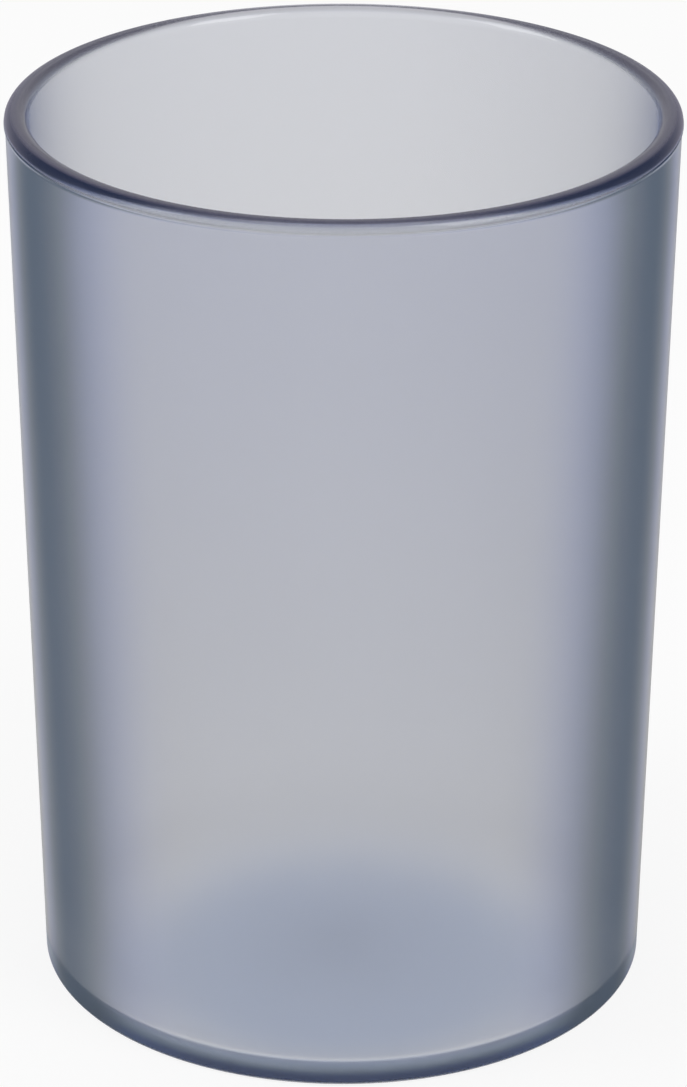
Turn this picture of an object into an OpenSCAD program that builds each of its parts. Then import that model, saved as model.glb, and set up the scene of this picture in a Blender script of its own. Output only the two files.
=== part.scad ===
// Bathroom tumbler: a plain, slightly tapered cup, moulded in one shot from
// translucent smoke-grey plastic. The wall outside is frosted by the mould,
// and the rounded lip above it is polished.
// Millimetres, +Z up. The origin is the centre of the surface it stands on.

/* [Overall] */
// Height from the surface it stands on to the top of the lip
height = 104.3; // [80:0.1:150]
// Diameter across the lip
lip_d = 75; // [62:0.1:100]
// Diameter of the wall's straight line where it meets the standing surface
foot_d = 70.4; // [58:0.1:96]

/* [Wall and floor] */
// Thickness of the wall
wall = 2.6; // [1.6:0.1:4.5]
// Thickness of the floor, between the recess below and the cup's inside
floor_t = 1.4; // [1:0.1:6]
// Radius of the inside corner where the wall turns into the floor
inside_round = 1; // [0.5:0.1:8]

/* [Lip] */
// How far the lip stands out beyond the wall's straight line
lip_proud = 0.12; // [0.05:0.01:0.6]
// Height of the lip's upright band, under its outer rounding
band_h = 0.1; // [0.1:0.1:3]
// Height over which the band's lower edge runs back into the wall
lip_blend = 0.3; // [0.2:0.1:3]
// Width of the narrow flat along the very top of the lip
crown_flat = 0.35; // [0:0.05:1]
// The outer rounding's share of the lip's thickness beside that flat
crown_share = 0.5; // [0.35:0.01:0.65]

/* [Foot] */
// Radius of the outside edge under the wall
foot_round = 0.7; // [0.3:0.1:2]
// Width of the flat ring that it stands on
ring_w = 6.4; // [2:0.1:12]
// Depth of the recess inside that ring
recess_depth = 0.65; // [0.4:0.05:2.5]
// How far the recess's side slopes inwards over that depth
recess_slope = 0.6; // [0.2:0.1:2]

/* [Gate mark] */
// Diameter of the small disc left where the plastic entered the mould
gate_d = 5; // [3:0.1:10]
// How far that disc stands down into the recess
gate_h = 0.25; // [0.1:0.05:0.35]

/* [Hidden] */
$fn = 128;

lip_r = lip_d / 2;
foot_r = foot_d / 2;
floor_z = recess_depth + floor_t;

// The wall's run outwards for each millimetre of rise, and its length for the same
draft = (lip_r - lip_proud - foot_r) / height;
slant = sqrt(1 + draft * draft);
function outer_r(z) = foot_r + draft * z;
function inner_r(z) = outer_r(z) - wall;

// Centre of a circle of radius r, resting on height z, that touches a wall line
// from inside, and the point where it touches that wall
function outer_corner(r, z) = [outer_r(z + r) - r * slant, z + r];
function inner_corner(r, z) = [inner_r(z + r) - r * slant, z + r];
function wall_touch(centre, r) = centre + [r, -r * draft] / slant;

// The lip's crown: one arc outwards and one inwards from the flat along its top
lip_t = wall + lip_proud;
crown_out = (lip_t - crown_flat) * crown_share;
crown_in = lip_t - crown_flat - crown_out;
crown_r = lip_r - crown_out;
crown_inner_r = crown_r - crown_flat;
band_z = height - crown_out - band_h;
blend_z = band_z - lip_blend;

foot_c = outer_corner(foot_round, 0);
inside_c = inner_corner(inside_round, floor_z);
recess_r = foot_c[0] - ring_w;

// The upper quarter of a disc of radius r at the centre c, on its outer side or, with side -1, its inner one
module crown_quarter(c, r, side) {
    intersection() {
        translate(c) circle(r);
        translate(c) mirror([side < 0 ? 1 : 0, 0]) square(r);
    }
}

// Half of the cup's cut face, to the right of its axis
module section() {
    difference() {
        union() {
            polygon([
                [0, recess_depth],
                [recess_r - recess_slope, recess_depth],
                [recess_r, 0],
                [foot_c[0], 0],
                wall_touch(foot_c, foot_round),
                [outer_r(blend_z), blend_z],
                [lip_r, band_z],
                [lip_r, height - crown_out],
                [crown_r, height],
                [crown_inner_r, height],
                [lip_r - lip_t, height - crown_in],
                wall_touch(inside_c, inside_round),
                [inside_c[0], floor_z],
                [0, floor_z]
            ]);
            translate(foot_c) circle(foot_round);
            crown_quarter([crown_r, height - crown_out], crown_out, 1);
            crown_quarter([crown_inner_r, height - crown_in], crown_in, -1);
        }
        translate(inside_c) circle(inside_round);
    }
}

// The whole cup: frosted wall, polished lip, floor, foot ring and gate mark
module tumbler() {
    color("lightslategray") union() {
        rotate_extrude() section();
        translate([0, 0, recess_depth - gate_h]) cylinder(d = gate_d, h = gate_h + floor_t / 2);
    }
}

tumbler();
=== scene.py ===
import math

import bpy
from mathutils import Matrix, Vector


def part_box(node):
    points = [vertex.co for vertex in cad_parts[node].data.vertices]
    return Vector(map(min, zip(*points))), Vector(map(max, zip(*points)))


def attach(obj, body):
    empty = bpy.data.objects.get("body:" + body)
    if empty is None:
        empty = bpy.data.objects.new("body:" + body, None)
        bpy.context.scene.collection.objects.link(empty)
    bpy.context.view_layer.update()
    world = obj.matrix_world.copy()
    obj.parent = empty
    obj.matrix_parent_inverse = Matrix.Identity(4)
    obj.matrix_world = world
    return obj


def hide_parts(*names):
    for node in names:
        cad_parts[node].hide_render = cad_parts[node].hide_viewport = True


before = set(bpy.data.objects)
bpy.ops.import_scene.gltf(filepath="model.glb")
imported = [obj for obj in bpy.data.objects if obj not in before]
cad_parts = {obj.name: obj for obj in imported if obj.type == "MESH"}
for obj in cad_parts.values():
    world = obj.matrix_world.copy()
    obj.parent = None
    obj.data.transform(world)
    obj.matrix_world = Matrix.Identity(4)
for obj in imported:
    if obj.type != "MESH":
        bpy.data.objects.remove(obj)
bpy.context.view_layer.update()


# The tumbler is the whole object: wall, lip, floor and foot ring, moulded in one shot from
# clear smoke-grey styrene plastic. Its mould is frosted outside, up to a fine witness line under
# the lip, and polished for the lip and the inside. So it is turned here as one closed shape.

MM = 0.001
cup_low, cup_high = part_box("tumbler")
CUP = {                                   # sizes in millimetres
    "Height": (cup_high.z - cup_low.z) / MM,
    "Lip radius": (cup_high.x - cup_low.x) / 2 / MM,
    "Foot radius": 35.2,
    "Wall": 2.6,
    "Floor thickness": 1.4,
    "Inside round": 1.0,
    "Lip proud": 0.12,
    "Band height": 0.1,
    "Lip blend": 0.3,
    "Crown share": 0.5,
    "Crown flat": 0.35,
    "Foot round": 0.7,
    "Ring width": 6.4,
    "Recess depth": 0.65,
    "Recess slope": 0.6,
    "Gate radius": 2.5,
    "Gate height": 0.25,
    "Edge round": 0.15,
    "Band round": 0.25,
    "Wall round": 0.9,
    "Witness depth": 0.03,
    "Witness width": 0.40,
    "Witness drop": 1.0,
    "Row height": 3.0,
}
STEPS_ROUND = 256
LEVEL = (1.0, 1.0, 0.0)


class Wire:
    """An output of a node. Sums on wires add Math nodes, and Wire.node adds any other node."""

    def __init__(self, tree, socket):
        self.tree = tree
        self.socket = socket

    @staticmethod
    def node(tree, kind, settings=None, sockets=None, out=0):
        """Adds a node: its settings first, then its sockets' values or wires. Gives the output out."""
        made = tree.nodes.new(kind)
        for name, value in (settings or {}).items():
            setattr(made, name, value)
        for key, value in (sockets or {}).items():
            socket = Wire.pick(made.inputs, key)
            if isinstance(value, Wire):
                tree.links.new(value.socket, socket)
            else:
                socket.default_value = value
        return Wire(tree, Wire.pick(made.outputs, out))

    @staticmethod
    def pick(sockets, key):
        """The socket in use with that name, or at that place among those in use."""
        used = [s for s in sockets if s.enabled]
        return used[key] if isinstance(key, int) else next(s for s in used if s.name == key)

    def other(self, name):
        """Another output of the same node."""
        return Wire(self.tree, Wire.pick(self.socket.node.outputs, name))

    def sum(self, operation, *values):
        """A Math node of that operation on the values."""
        return Wire.node(self.tree, "ShaderNodeMath", {"operation": operation}, dict(enumerate(values)))

    def __add__(self, other):
        return self.sum("ADD", self, other)

    def __radd__(self, other):
        return self.sum("ADD", other, self)

    def __sub__(self, other):
        return self.sum("SUBTRACT", self, other)

    def __rsub__(self, other):
        return self.sum("SUBTRACT", other, self)

    def __mul__(self, other):
        return self.sum("MULTIPLY", self, other)

    def __rmul__(self, other):
        return self.sum("MULTIPLY", other, self)

    def __truediv__(self, other):
        return self.sum("DIVIDE", self, other)

    def __rtruediv__(self, other):
        return self.sum("DIVIDE", other, self)

    def __neg__(self):
        return self.sum("MULTIPLY", self, -1.0)

    def __abs__(self):
        return self.sum("ABSOLUTE", self)

    def whole(self):
        """The whole number below."""
        return self.sum("FLOOR", self)

    def larger(self, other):
        """The larger of the two."""
        return self.sum("MAXIMUM", self, other)

    def past(self, other):
        """1 where it is more than the other, and else 0."""
        return self.sum("GREATER_THAN", self, other)

    def step(self, low, high):
        """0 below low and 1 above high, with a smooth rise between."""
        return Wire.node(self.tree, "ShaderNodeMapRange", {"interpolation_type": "SMOOTHSTEP"},
                         {"Value": self, "From Min": low, "From Max": high})


def turned_cup_tree():
    """The outline's corners, each with its rounding, swept round the axis."""
    tree = bpy.data.node_groups.new("turned cup", "GeometryNodeTree")
    tree.interface.new_socket("Geometry", in_out="OUTPUT", socket_type="NodeSocketGeometry")
    for name in CUP:
        tree.interface.new_socket(name, in_out="INPUT", socket_type="NodeSocketFloat")
    tree.interface.new_socket("Steps round", in_out="INPUT", socket_type="NodeSocketInt")
    tree.interface.new_socket("Plastic", in_out="INPUT", socket_type="NodeSocketMaterial")
    given = tree.nodes.new("NodeGroupInput")
    size = {name: Wire(tree, given.outputs[name]) * (1 if name == "Crown share" else MM) for name in CUP}

    def add(kind, settings=None, sockets=None, out=0):
        return Wire.node(tree, kind, settings, sockets, out)

    height = size["Height"]
    lip_r = size["Lip radius"]
    foot_r = size["Foot radius"]
    draft = (lip_r - size["Lip proud"] - foot_r) / height
    floor_z = size["Recess depth"] + size["Floor thickness"]
    lip_t = size["Wall"] + size["Lip proud"]
    crown_out = (lip_t - size["Crown flat"]) * size["Crown share"]
    crown_in = lip_t - size["Crown flat"] - crown_out
    recess_r = foot_r - size["Foot round"] - size["Ring width"]
    gate_z = size["Recess depth"] - size["Gate height"]
    gate_foot = size["Gate radius"] + size["Gate height"]
    band_z = height - crown_out - size["Band height"]
    blend_z = band_z - size["Lip blend"]
    edge = size["Edge round"]

    # radius and height of each corner, the radius that rounds it, and the steps of that round
    corners = [
        (0.0, gate_z, 0.0, 1),
        (size["Gate radius"], gate_z, edge / 2, 3),
        (gate_foot, size["Recess depth"], edge / 2, 3),
        (recess_r - size["Recess slope"], size["Recess depth"], edge * 2, 5),
        (recess_r, 0.0, edge, 4),
        (foot_r, 0.0, size["Foot round"], 16),
        (foot_r + draft * blend_z, blend_z, size["Wall round"], 6),
        (lip_r, band_z, size["Band round"], 6),
        (lip_r, height, crown_out, 28),
        (lip_r - lip_t, height, crown_in, 28),
        (foot_r + draft * floor_z - size["Wall"], floor_z, size["Inside round"], 20),
        (0.0, floor_z, 0.0, 1),
    ]
    line = add("GeometryNodeMeshLine", {"mode": "OFFSET"}, {"Count": len(corners)})
    index = add("GeometryNodeInputIndex")

    def for_each_corner(kind, values):
        chosen = tree.nodes.new("GeometryNodeIndexSwitch")
        chosen.data_type = kind
        while len(chosen.index_switch_items) < len(values):
            chosen.index_switch_items.new()
        tree.links.new(index.socket, chosen.inputs["Index"])
        for place, value in enumerate(values, start=1):
            if isinstance(value, Wire):
                tree.links.new(value.socket, chosen.inputs[place])
            else:
                chosen.inputs[place].default_value = value
        return Wire(tree, chosen.outputs[0])

    # the outline lies flat, with its heights along -Y and the lip's radius at 0, as the sweep wants it
    points = [add("ShaderNodeCombineXYZ", sockets={"X": r - lip_r, "Y": -z}) for r, z, _, _ in corners]
    placed = add("GeometryNodeSetPosition", sockets={
        "Geometry": line, "Position": for_each_corner("VECTOR", points)})
    outline = add("GeometryNodeMeshToCurve", sockets={"Mesh": placed})
    rounded = add("GeometryNodeFilletCurve", {"mode": "POLY"}, {
        "Curve": outline,
        "Count": for_each_corner("INT", [steps for _, _, _, steps in corners]),
        "Radius": for_each_corner("FLOAT", [radius for _, _, radius, _ in corners]),
        "Limit Radius": True,
    })

    # long straight stretches are cut into rows, so that the shading stays true beside each round
    here = add("GeometryNodeInputPosition")
    after = add("GeometryNodeOffsetPointInCurve", sockets={"Offset": 1}, out="Point Index")
    there = add("GeometryNodeFieldAtIndex", {"data_type": "FLOAT_VECTOR"}, {"Index": after, "Value": here})
    run = add("ShaderNodeVectorMath", {"operation": "DISTANCE"}, {0: here, 1: there}, out="Value")
    rows = add("GeometryNodeSubdivideCurve", sockets={
        "Curve": rounded, "Cuts": (run / size["Row height"]).whole()})

    circle = add("GeometryNodeCurvePrimitiveCircle", {"mode": "RADIUS"},
                 {"Resolution": Wire(tree, given.outputs["Steps round"]), "Radius": lip_r})
    swept = add("GeometryNodeCurveToMesh", sockets={"Curve": circle, "Profile Curve": rows})
    outward = add("GeometryNodeFlipFaces", sockets={"Mesh": swept})
    closed = add("GeometryNodeMergeByDistance", sockets={"Geometry": outward, "Distance": MM / 1000})

    # the witness line: a shallow V pressed into the lip's outer shoulder
    level = add("ShaderNodeVectorMath", {"operation": "MULTIPLY"}, {0: here, 1: LEVEL})
    outwards = add("ShaderNodeVectorMath", {"operation": "NORMALIZE"}, {0: level})
    reach = add("ShaderNodeVectorMath", {"operation": "LENGTH"}, {0: level}, out="Value")
    here_z = add("ShaderNodeSeparateXYZ", sockets={"Vector": here}, out="Z")
    away = abs(here_z - (height - size["Witness drop"]))
    groove = (1 - away / (size["Witness width"] / 2)).larger(0.0)
    outside = reach.past(lip_r - crown_out)
    press = add("ShaderNodeVectorMath", {"operation": "SCALE"},
                {0: outwards, "Scale": -groove * outside * size["Witness depth"]})
    pressed = add("GeometryNodeSetPosition", sockets={"Geometry": closed, "Offset": press})
    smooth = add("GeometryNodeSetShadeSmooth", sockets={"Geometry": pressed})
    whole = add("GeometryNodeRealizeInstances", sockets={"Geometry": smooth})
    painted = add("GeometryNodeSetMaterial", sockets={
        "Geometry": whole, "Material": Wire(tree, given.outputs["Plastic"])})
    tree.links.new(painted.socket, tree.nodes.new("NodeGroupOutput").inputs["Geometry"])
    return tree


# The plastic: clear and smoke-grey right through, so its colour is in its depth and not on its face.
# A matt haze is mixed over it: partly the frosted faces' own scatter, and partly painted shade
# for light that the frosted and the rounded faces catch and trap. It is thin on a wall seen straight on,
# and deep where wall, lip or foot is seen at a flat angle.
IOR = 1.57
SMOKE_PER_M = 126.0
SMOKE_COLOUR = (0.34, 0.36, 0.42, 1.0)
WHITE = (1.0, 1.0, 1.0, 1.0)

plastic = bpy.data.materials.new("smoke plastic")
plastic.use_nodes = True
nodes = plastic.node_tree
nodes.nodes.clear()


def paint(kind, settings=None, sockets=None, out=0):
    """Adds a node to the plastic."""
    return Wire.node(nodes, kind, settings, sockets, out)


def tinted(share, under, over):
    """The colour under, with a share of the colour over on it."""
    return paint("ShaderNodeMix", {"data_type": "RGBA"}, {"Factor": share, "A": under, "B": over})


# up from the table, down from the top and out from the axis, in millimetres. grazing is 0 on a face
# seen straight on and 1 on one seen edge-on.
place = paint("ShaderNodeTexCoord", out="Object")
flat = paint("ShaderNodeVectorMath", {"operation": "MULTIPLY"}, {0: place, 1: LEVEL})
radius = paint("ShaderNodeVectorMath", {"operation": "LENGTH"}, {0: flat}, out="Value") / MM
up = paint("ShaderNodeSeparateXYZ", sockets={"Vector": place}, out="Z") / MM
drop = CUP["Height"] - up
grazing = paint("ShaderNodeLayerWeight", sockets={"Blend": 0.5}, out="Facing")
outwards = 1 - paint("ShaderNodeNewGeometry", out="Backfacing")

# the outer face, its frosted part between foot and witness line, and the inside
FACES_PART = 0.2
FROST_FROM = 0.2
FROST_END = 0.1
INSIDE_FROM = (0.15, 0.5)
draft = (CUP["Lip radius"] - CUP["Lip proud"] - CUP["Foot radius"]) / CUP["Height"]
mid_wall = up * draft + (CUP["Foot radius"] - CUP["Wall"] / 2)
outer_face = (radius - mid_wall).step(-FACES_PART, FACES_PART)
witness = CUP["Witness drop"]
below_lip = drop.step(witness, witness + FROST_END)
frost = outer_face * below_lip * up.step(FROST_FROM, CUP["Foot round"])
inside = (1 - outer_face) * drop.step(*INSIDE_FROM)

# the mould's finish: blasted outside, with faint clouds and a fine grain, and polished elsewhere
FROSTED = 0.30
INSIDE = 0.06
POLISHED = 0.04
CLOUD_SCALE = 70.0
CLOUD_SHARE = 0.05
GRAIN_SCALE = 9000.0
GRAIN_DEPTH = 0.0015 * MM
cloud = paint("ShaderNodeTexNoise", sockets={
    "Vector": place, "Scale": CLOUD_SCALE, "Detail": 3.0, "Roughness": 0.5})
grain = paint("ShaderNodeTexNoise", sockets={
    "Vector": place, "Scale": GRAIN_SCALE, "Detail": 2.0, "Roughness": 0.6})
roughness = (POLISHED + frost * (FROSTED - POLISHED + (cloud - 0.5) * CLOUD_SHARE)
             + inside * (INSIDE - POLISHED))
fine = paint("ShaderNodeBump", sockets={"Strength": 1.0, "Distance": GRAIN_DEPTH, "Height": grain * frost})

# the wall: a navy haze, partly the frost's own scatter and partly painted shade that thickens towards
# the lip, and a deep grey painted shade where it is seen edge-on
HAZE_AND_SHADE = (0.12, 0.19, 0.52, 1.0)
HAZE_AND_SHADE_LOW = 0.025
HAZE_AND_SHADE_HIGH = 0.14
HAZE_AND_SHADE_CLIMB = (25, 105)
# painted shade: dark stripes down both edges of the wall, where it is seen edge-on, a little less at the
# foot
STRIPE_SHADE = (0.07, 0.101, 0.15, 1.0)
STRIPE_SHARE = 0.80
STRIPE_RISE = (0.25, 0.66)
STRIPE_FALL = (0.67, 0.94)
STRIPE_TINT = (-0.1, 0.8)
STRIPE_OVER_HAZE_AND_SHADE = 0.5
STRIPE_WHOLE = (2, 16)
STRIPE_LESS = 0.07
at_foot = 1 - up.step(*STRIPE_WHOLE)
painted_edge_shade = grazing.step(*STRIPE_RISE) * (1 - grazing.step(*STRIPE_FALL)) * frost * (1 - at_foot * STRIPE_LESS)
wall_haze_and_shade = (frost * (HAZE_AND_SHADE_LOW + up.step(*HAZE_AND_SHADE_CLIMB) * (HAZE_AND_SHADE_HIGH - HAZE_AND_SHADE_LOW))
             * (1 - painted_edge_shade * STRIPE_OVER_HAZE_AND_SHADE))

# the foot: the floor's thickness darkens the wall in a band, deepened by a painted blue shade that is
# paler along its top
FOOT_DEEP = (0.09, 0.17, 0.46, 1.0)
FOOT_PALE = (0.26, 0.35, 0.50, 1.0)
FOOT_SHARE = 0.18
FOOT_MORE = 0.10
FOOT_PALER = (1.1, 2.0)
FOOT_TOP = (2.6, 3.6)
foot = frost * (1 - up.step(*FOOT_TOP))
foot_high = up.step(*FOOT_PALER)
painted_foot_shade = foot * (FOOT_SHARE + foot_high * FOOT_MORE) * (1 - painted_edge_shade)
foot_colour = tinted(foot_high, FOOT_DEEP, FOOT_PALE)
wall_colour = tinted(painted_edge_shade.step(*STRIPE_TINT), tinted(foot, HAZE_AND_SHADE, foot_colour), STRIPE_SHADE)

# the lip's outer rounding: a dark ring of painted shade. RING_FIRST below the top it shows at the smallest
# angle, and later above and below that. At the flattest angles a paler painted reflection takes over.
RING_SHADE = (0.016, 0.024, 0.06, 1.0)
RING_SHEEN = (0.21, 0.20, 0.26, 1.0)
RING_SHARE = 0.88
RING_TOP = (-0.03, 0.16)
RING_END = (0.75, 1.2)
RING_FIRST = 0.35
RING_ANGLE = 0.14
LATER_BELOW = 0.4
LATER_ABOVE = 0.62
RING_SOFT = 0.065
RING_SOFTER = 0.17
RING_SHEEN_ANGLES = (0.47, 0.92)
angle = RING_ANGLE + ((drop - RING_FIRST) * LATER_BELOW).larger((RING_FIRST - drop) * LATER_ABOVE)
soft = RING_SOFT + drop * RING_SOFTER
ring = (outer_face * drop.step(*RING_TOP) * (1 - drop.step(*RING_END))
        * grazing.step(angle - soft, angle + soft))
ring_shade_and_sheen = tinted(grazing.step(*RING_SHEEN_ANGLES), RING_SHADE, RING_SHEEN)

# the rest of the lip: painted shade on its crown, on the shoulder under it, and along the witness line
CROWN = (0.105, 0.10, 0.18, 1.0)
CROWN_SHARE = 0.47
CROWN_INWARD = 0.85
CROWN_END = (0.15, 0.55)
SHOULDER = (0.11, 0.155, 0.29, 1.0)
SHOULDER_SHARE = 0.22
LINE_SHARE = 0.16
LINE_ABOVE = 0.25
LINE_BELOW = 0.35
LINE_RISE = (0.03, 0.14)
crown_zone = 1 - drop.step(*CROWN_END)
crown = crown_zone * (1 - ring) * (outer_face + (1 - outer_face) * CROWN_INWARD)
shoulder = outer_face * (1 - below_lip) * (1 - crown_zone) * (1 - ring)
witness_line_shade = (outer_face * drop.step(witness - LINE_ABOVE, witness)
                * (1 - drop.step(witness, witness + LINE_BELOW)) * (1 - ring))

# the inside: a thin grey-blue painted shade, more where it is seen edge-on and along the lip's inner
# rounding
INNER_SHADE = (0.11, 0.15, 0.32, 1.0)
INNER_SHARE = 0.19
INNER_EDGE = 0.17
INNER_RISE = (0.40, 0.85)
INNER_ABOVE = (4, 8)
INNER_LINE = 0.12
INNER_LINE_RISE = (0.8, 1.0)
INNER_LINE_FROM = (0.7, 1.1)
INNER_LINE_TO = (1.2, 1.8)
inner_line = grazing.step(*INNER_LINE_RISE) * drop.step(*INNER_LINE_FROM) * (1 - drop.step(*INNER_LINE_TO))
inner_edge = grazing.step(*INNER_RISE) * INNER_EDGE + inner_line * INNER_LINE
inner_shade = inside * INNER_SHARE + inside * up.step(*INNER_ABOVE) * inner_edge

# the share and the colour of the matt haze and the painted shade, place by place
haze_and_shade_share = (wall_haze_and_shade + painted_foot_shade + painted_edge_shade * STRIPE_SHARE
         + witness_line_shade * grazing.step(*LINE_RISE) * LINE_SHARE
         + crown * CROWN_SHARE + ring * RING_SHARE + shoulder * SHOULDER_SHARE
         + inner_shade) * outwards
haze_and_shade_colour = tinted(shoulder, tinted(1 - outer_face, wall_colour, INNER_SHADE), SHOULDER)
haze_and_shade_colour = tinted(witness_line_shade, haze_and_shade_colour, RING_SHADE)
haze_and_shade_colour = tinted(ring, tinted(crown_zone, haze_and_shade_colour, CROWN), ring_shade_and_sheen)

shell = paint("ShaderNodeBsdfPrincipled", sockets={
    "Base Color": WHITE, "Roughness": roughness, "IOR": IOR, "Transmission Weight": 1.0, "Normal": fine})
haze_and_shade = paint("ShaderNodeBsdfPrincipled", sockets={
    "Base Color": haze_and_shade_colour, "Roughness": 1.0, "Specular IOR Level": 0.0, "Normal": fine})
skin = paint("ShaderNodeMixShader", sockets={0: haze_and_shade_share, 1: shell, 2: haze_and_shade})
depth = paint("ShaderNodeVolumeAbsorption", sockets={"Color": SMOKE_COLOUR, "Density": SMOKE_PER_M})
surface = nodes.nodes.new("ShaderNodeOutputMaterial")
nodes.links.new(skin.socket, surface.inputs["Surface"])
nodes.links.new(depth.socket, surface.inputs["Volume"])

turning = bpy.data.objects.new("turning", bpy.data.meshes.new("turning"))
bpy.context.scene.collection.objects.link(turning)
lathe = turning.modifiers.new("lathe", "NODES")
lathe.node_group = turned_cup_tree()
lathe_inputs = dict(CUP)
lathe_inputs["Steps round"] = STEPS_ROUND
lathe_inputs["Plastic"] = plastic
for item in lathe.node_group.interface.items_tree:
    if item.in_out == "INPUT":
        lathe[item.identifier] = lathe_inputs[item.name]
cup_mesh = bpy.data.meshes.new_from_object(turning.evaluated_get(bpy.context.evaluated_depsgraph_get()))
bpy.data.objects.remove(turning)
cup = bpy.data.objects.new("smoke_tumbler", cup_mesh)
bpy.context.scene.collection.objects.link(cup)
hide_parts("tumbler")
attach(cup, "root")


# The floor: a wide pale sheet of matt card under the cup, seen from above alone. Through the plastic
# it shows as a glow, with a painted cool soft shadow where the cup stands, and a painted shade that
# dims it a little to the right.
FLOOR_SIZE = 6.0
FLOOR_COLOUR = (0.90, 0.90, 0.90, 1.0)
FLOOR_DROP = 0.02 * MM

floor_mesh = bpy.data.meshes.new("floor")
half = FLOOR_SIZE / 2
corner_signs = [(-1, -1), (1, -1), (1, 1), (-1, 1)]
floor_mesh.from_pydata([(half * x, half * y, -FLOOR_DROP) for x, y in corner_signs], [], [(0, 1, 2, 3)])
floor = bpy.data.objects.new("floor", floor_mesh)
bpy.context.scene.collection.objects.link(floor)

sheet = bpy.data.materials.new("pale_sheet")
sheet.use_nodes = True
sheet_nodes = sheet.node_tree
sheet_nodes.nodes.clear()


def card(kind, settings=None, sockets=None, out=0):
    """Adds a node to the sheet."""
    return Wire.node(sheet_nodes, kind, settings, sockets, out)


# what glows is the share of the sheet that isn't matt: most for the camera, and in the plastic all of it
# beside the cup, less in the painted shadow and shade
GLOW_SEEN = 0.85
GLOW_IN_GLOSS = 0.7
GLOW_NEAR = 1.0
GLOW_FAR = 0.95
FAR_SPAN = (50 * MM, 180 * MM)
seen = card("ShaderNodeLightPath", out="Is Camera Ray")
in_gloss = seen.other("Is Glossy Ray")
in_plastic = seen.other("Is Transmission Ray")
spot = card("ShaderNodeTexCoord", out="Object")

# painted shadow: under the cup the glow is lower and bluer, centred 6 mm towards the camera
GLOW_IN_SHADOW = 0.78
SHADOW_TINT = (0.69, 0.79, 0.99, 1.0)
UNDER_MIDDLE = (0.0, -6 * MM, 0.0)
UNDER_SPAN = (18 * MM, 31.5 * MM)
from_cup = card("ShaderNodeVectorMath", {"operation": "DISTANCE"}, {0: spot, 1: UNDER_MIDDLE}, out="Value")
beside = from_cup.step(*UNDER_SPAN)
through_glow = (GLOW_IN_SHADOW + beside * (GLOW_NEAR - GLOW_IN_SHADOW)
                - from_cup.step(*FAR_SPAN) * (GLOW_NEAR - GLOW_FAR))

# painted shadow: a darker core in the middle of it
CORE_SHADE = 0.12
CORE_MIDDLE = (0.0, -3 * MM, 0.0)
CORE_SIZE = 20 * MM
from_core = card("ShaderNodeVectorMath", {"operation": "DISTANCE"}, {0: spot, 1: CORE_MIDDLE}, out="Value")
through_glow = through_glow - (1 - from_core.step(0.0, CORE_SIZE)) * CORE_SHADE

# painted shade: less glow to the right of the cup
SHADY_SIDE = 0.30
SHADY_SPAN = (22 * MM, 38 * MM)
across = card("ShaderNodeSeparateXYZ", sockets={"Vector": spot}, out="X")
through_glow = through_glow * (1 - across.step(*SHADY_SPAN) * SHADY_SIDE)

share = (seen * GLOW_SEEN).larger(in_plastic.larger(in_gloss * GLOW_IN_GLOSS) * through_glow)
tint = card("ShaderNodeMix", {"data_type": "RGBA"}, {
    "Factor": beside.larger(seen), "A": SHADOW_TINT, "B": WHITE})
matt = card("ShaderNodeBsdfDiffuse", sockets={"Color": FLOOR_COLOUR})
glow = card("ShaderNodeEmission", sockets={"Color": tint, "Strength": 1.0})
lit = card("ShaderNodeMixShader", sockets={0: share, 1: matt, 2: glow})
clear = card("ShaderNodeBsdfTransparent")
behind = card("ShaderNodeNewGeometry", out="Backfacing")
one_sided = card("ShaderNodeMixShader", sockets={0: behind, 1: lit, 2: clear})
sheet_nodes.links.new(one_sided.socket, sheet_nodes.nodes.new("ShaderNodeOutputMaterial").inputs["Surface"])
floor_mesh.materials.append(sheet)


# The light: a white room that is darker overhead, and two soft rectangular lamps, one in front to the
# right and one at the left side, both well above the lip and aimed at the cup.
ROOM_TOP = 0.5
ROOM_SPAN = (0.25, 0.8)
LAMP_TURNS = {"lamp right": 50, "lamp left": -78}
LAMP_RADIANCE = 3.0
LAMP_WIDE = 0.5
LAMP_HIGH = 0.7
LAMP_AWAY = 1.2
LAMP_LIFT = 45

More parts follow.
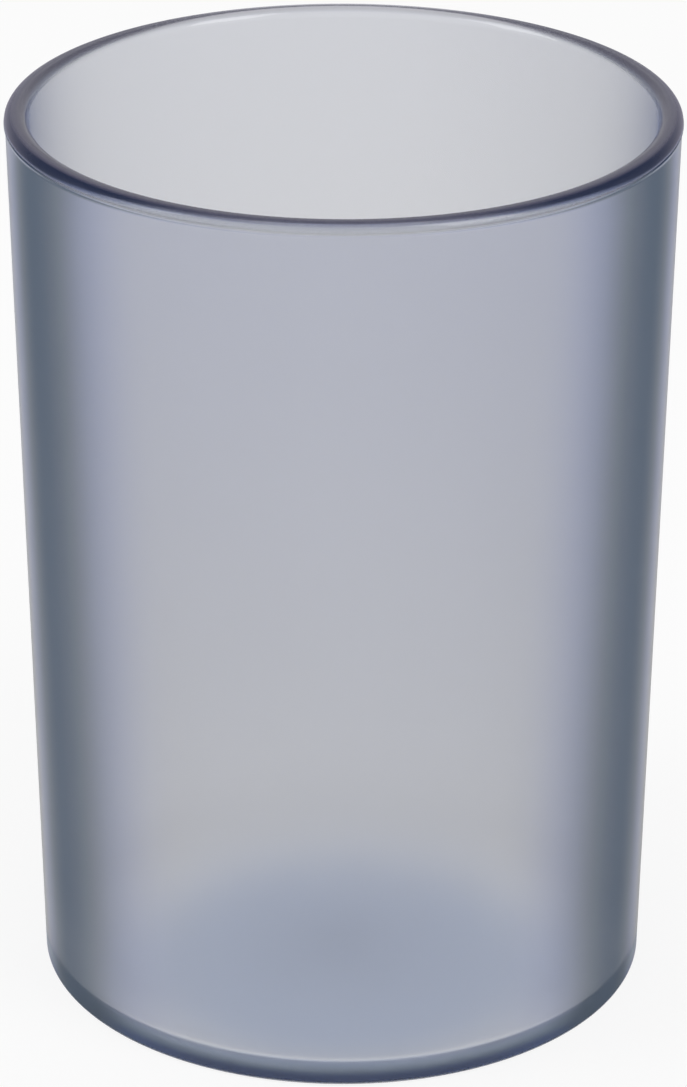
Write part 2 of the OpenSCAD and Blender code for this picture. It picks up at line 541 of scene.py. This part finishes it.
world = bpy.data.worlds.new("white_room")
bpy.context.scene.world = world
world.use_nodes = True
room = world.node_tree
room.nodes.clear()
aim = Wire.node(room, "ShaderNodeTexCoord", out="Generated")
overhead = Wire.node(room, "ShaderNodeSeparateXYZ", sockets={"Vector": aim}, out="Z").step(*ROOM_SPAN)
air = Wire.node(room, "ShaderNodeBackground", sockets={
    "Color": WHITE, "Strength": 1 - overhead * (1 - ROOM_TOP)})
room.links.new(air.socket, room.nodes.new("ShaderNodeOutputWorld").inputs["Surface"])

for name, turn in LAMP_TURNS.items():
    lamp_data = bpy.data.lights.new(name, "AREA")
    lamp_data.shape = "RECTANGLE"
    lamp_data.size = LAMP_WIDE
    lamp_data.size_y = LAMP_HIGH
    lamp_data.energy = LAMP_RADIANCE * math.pi * LAMP_WIDE * LAMP_HIGH
    lamp = bpy.data.objects.new(name, lamp_data)
    lamp.visible_camera = False
    around = Matrix.Rotation(math.radians(turn), 4, "Z")
    lifted = Matrix.Rotation(math.radians(90 - LAMP_LIFT), 4, "X")
    lamp.matrix_world = around @ lifted @ Matrix.Translation(Vector((0, 0, LAMP_AWAY)))
    bpy.context.scene.collection.objects.link(lamp)


# The camera stands where the photograph was taken from: half a metre in front of the cup and above
# its lip, looking down at it through a long lens.
PHOTO_WIDTH = 687
PHOTO_HEIGHT = 1087
SENSOR = 36.0
CAMERA_BACK = 485.9 * MM
CAMERA_UP = 272.3 * MM
CAMERA_SIDE = 0.1 * MM
CAMERA_DIP = 24.465
CAMERA_ROLL = 0.15
FOCUS_PIXELS = 4638.9
NEAREST = 0.01

view_data = bpy.data.cameras.new("camera")
view_data.sensor_width = SENSOR
view_data.lens = FOCUS_PIXELS * SENSOR / max(PHOTO_WIDTH, PHOTO_HEIGHT)
view_data.clip_start = NEAREST
camera = bpy.data.objects.new("camera", view_data)
stand = Matrix.Translation(Vector((CAMERA_SIDE, -CAMERA_BACK, CAMERA_UP)))
tilt = Matrix.Rotation(math.radians(90 - CAMERA_DIP), 4, "X")
camera.matrix_world = stand @ tilt @ Matrix.Rotation(math.radians(CAMERA_ROLL), 4, "Z")
bpy.context.scene.collection.objects.link(camera)
bpy.context.scene.camera = camera
bpy.context.scene.view_settings.view_transform = "Standard"
